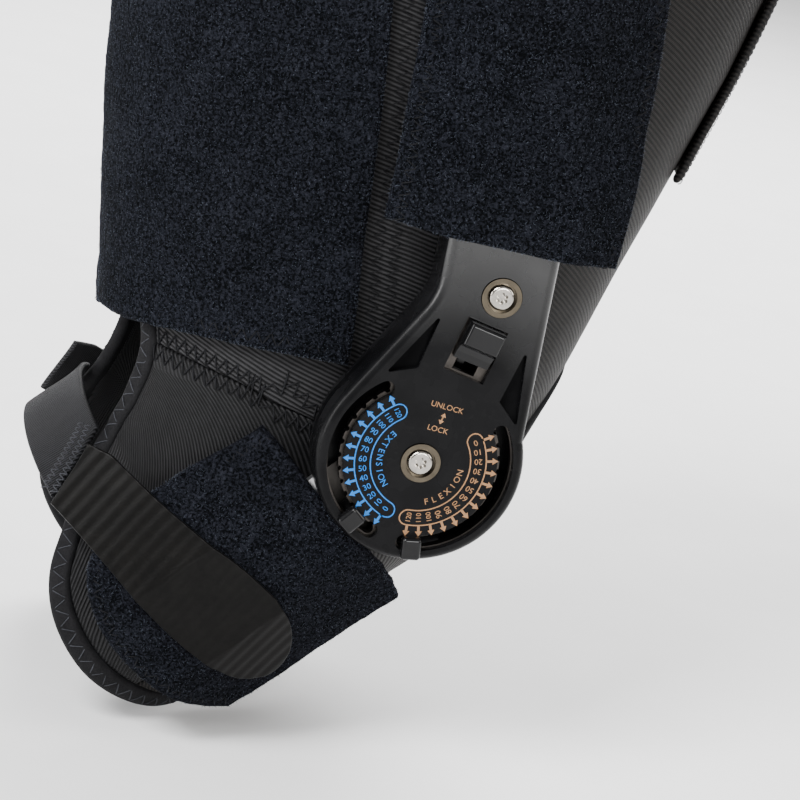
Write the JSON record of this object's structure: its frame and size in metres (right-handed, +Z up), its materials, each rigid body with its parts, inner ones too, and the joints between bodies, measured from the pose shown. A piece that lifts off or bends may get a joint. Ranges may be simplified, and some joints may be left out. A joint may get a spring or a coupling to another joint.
{
  "type": "hinged knee brace",
  "caption": "Hinged knee brace for a right leg with a fabric sleeve, dial hinges with movable stops and slide locks, arms in cloth pockets, and a hook strap behind the calf.",
  "frame": {"origin": "on the knee axis, midway between the two hinges, where the leg passes", "axes": "+Z up the thigh, +X to the front of the knee, +Y along the knee axis to the medial side"},
  "size_m": [0.1886, 0.1554, 0.2396],
  "materials": {
    "satin_black_plastic": "fine satin texture",
    "gloss_black_plastic": "glossy",
    "arm_aluminium": "brushed",
    "washer_polymer": "smooth",
    "spring_steel": "satin",
    "zinc_steel": "bright zinc",
    "screw_chrome": "polished",
    "cup_brass": "polished",
    "ribbed_fabric": "fine ribs",
    "binding_tape": "soft tape",
    "loop_pile": "brushed loop pile",
    "woven_elastic": "woven elastic",
    "hook_tape": "moulded cross ridges",
    "print_blue": "pad print",
    "print_tan": "pad print",
    "stitch_thread": "twisted thread"
  },
  "bodies": {
    "thigh": {"back_thigh_cuff": "loop_pile", "front_closure_flap": "ribbed_fabric", "knee_front_panel": "ribbed_fabric", "lateral_arm_nut": "zinc_steel", "lateral_arm_screw": "screw_chrome", "lateral_cup_washers": "cup_brass", "lateral_hinge_back_cover": "satin_black_plastic", "lateral_hinge_front_cover": "satin_black_plastic", "lateral_lock_spring": "spring_steel", "lateral_neck_spacer": "arm_aluminium", "lateral_pivot_barrel": "zinc_steel", "lateral_pivot_screw": "screw_chrome", "lateral_thigh_panel": "ribbed_fabric", "lateral_thigh_pocket": "loop_pile", "lateral_upper_arm": "arm_aluminium", "lateral_wear_washers": "washer_polymer", "medial_arm_nut": "zinc_steel", "medial_arm_screw": "screw_chrome", "medial_cuff_hook_panel": "hook_tape", "medial_cup_washers": "cup_brass", "medial_hinge_back_cover": "satin_black_plastic", "medial_hinge_front_cover": "satin_black_plastic", "medial_lock_spring": "spring_steel", "medial_neck_spacer": "arm_aluminium", "medial_pivot_barrel": "zinc_steel", "medial_pivot_screw": "screw_chrome", "medial_thigh_panel": "ribbed_fabric", "medial_thigh_pocket": "loop_pile", "medial_upper_arm": "arm_aluminium", "medial_wear_washers": "washer_polymer", "patella_ring": "binding_tape", "thigh_front_panel": "ribbed_fabric", "thigh_top_binding": "binding_tape"},
    "calf": {"lateral_lower_arm": "arm_aluminium", "medial_lower_arm": "arm_aluminium", "lateral_knee_gusset": "ribbed_fabric", "medial_knee_gusset": "ribbed_fabric", "lateral_calf_panel": "ribbed_fabric", "medial_calf_panel": "ribbed_fabric", "lateral_edge_binding": "binding_tape", "medial_edge_binding": "binding_tape", "lateral_calf_pocket": "loop_pile", "medial_calf_pocket": "loop_pile", "shin_panel": "ribbed_fabric", "shin_binding": "binding_tape", "calf_back_strap": "woven_elastic", "lateral_calf_hook_tab": "hook_tape", "medial_strap_anchor": "woven_elastic"},
    "lateral_extension_stop": {"lateral_extension_stop": "gloss_black_plastic"},
    "medial_extension_stop": {"medial_extension_stop": "gloss_black_plastic"},
    "lateral_flexion_stop": {"lateral_flexion_stop": "gloss_black_plastic"},
    "medial_flexion_stop": {"medial_flexion_stop": "gloss_black_plastic"},
    "lateral_lock_slider": {"lateral_lock_slider": "gloss_black_plastic"},
    "medial_lock_slider": {"medial_lock_slider": "gloss_black_plastic"}
  },
  "joints": [
    {"name": "knee_flexion", "type": "hinge", "parent": "thigh", "child": "calf", "pos_m": [0, 0, 0], "axis": [0, 1, 0], "range_deg": [-45, 75], "deforming": ["lateral_knee_gusset", "medial_knee_gusset", "lateral_calf_panel", "medial_calf_panel", "lateral_edge_binding", "medial_edge_binding", "lateral_calf_pocket", "medial_calf_pocket", "shin_panel", "shin_binding", "calf_back_strap", "lateral_calf_hook_tab", "medial_strap_anchor", "knee_front_panel", "patella_ring"]},
    {"name": "lateral_extension_stop_turn", "type": "hinge", "parent": "thigh", "child": "lateral_extension_stop", "pos_m": [0, 0, 0], "axis": [0, 1, 0], "range_deg": [-15, 105]},
    {"name": "lateral_flexion_stop_turn", "type": "hinge", "parent": "thigh", "child": "lateral_flexion_stop", "pos_m": [0, 0, 0], "axis": [0, 1, 0], "range_deg": [-115, 5]},
    {"name": "lateral_lock_slide", "type": "slide", "parent": "thigh", "child": "lateral_lock_slider", "axis": [-0.2588, 0, -0.9659], "range_m": [0, 0.004]},
    {"name": "medial_extension_stop_turn", "type": "hinge", "parent": "thigh", "child": "medial_extension_stop", "pos_m": [0, 0, 0], "axis": [0, 1, 0], "range_deg": [-15, 105]},
    {"name": "medial_flexion_stop_turn", "type": "hinge", "parent": "thigh", "child": "medial_flexion_stop", "pos_m": [0, 0, 0], "axis": [0, 1, 0], "range_deg": [-115, 5]},
    {"name": "medial_lock_slide", "type": "slide", "parent": "thigh", "child": "medial_lock_slider", "axis": [-0.2588, 0, -0.9659], "range_m": [0, 0.004]}
  ]
}
